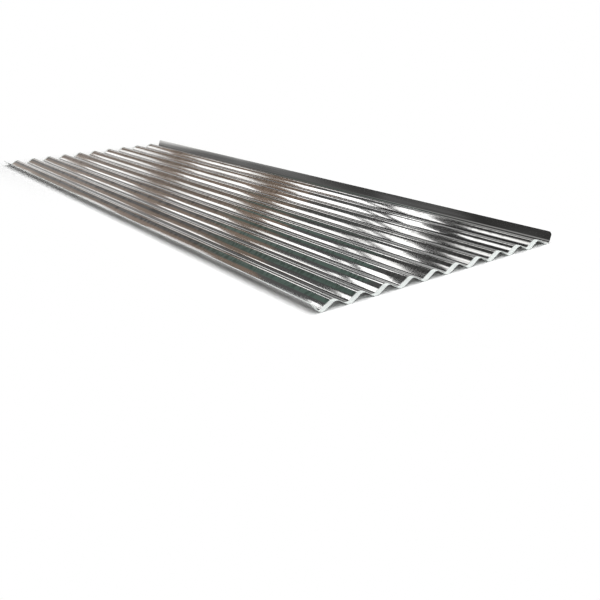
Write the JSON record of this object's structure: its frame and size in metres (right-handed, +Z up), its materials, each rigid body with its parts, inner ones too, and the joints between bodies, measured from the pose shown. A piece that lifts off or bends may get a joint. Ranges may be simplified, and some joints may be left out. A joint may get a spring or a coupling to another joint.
{
  "type": "corrugated metal sheet",
  "caption": "Galvanised steel sheet rolled into even rounded corrugations along its length, with both long edges turned up; used for roofing, walls and fences.",
  "frame": {"origin": "middle of the sheet at the level of the troughs' undersides, where it rests on a flat surface", "axes": "+X across the corrugations towards the taller turned-up edge, +Y along the corrugations, +Z up out of the crests"},
  "size_m": [0.8018, 2.44, 0.0305],
  "materials": {
    "galvanised_steel": "bright hot-dip galvanised zinc, lightly brushed along the rolling direction"
  },
  "bodies": {
    "root": {"corrugated_sheet": "galvanised_steel"}
  },
  "joints": []
}
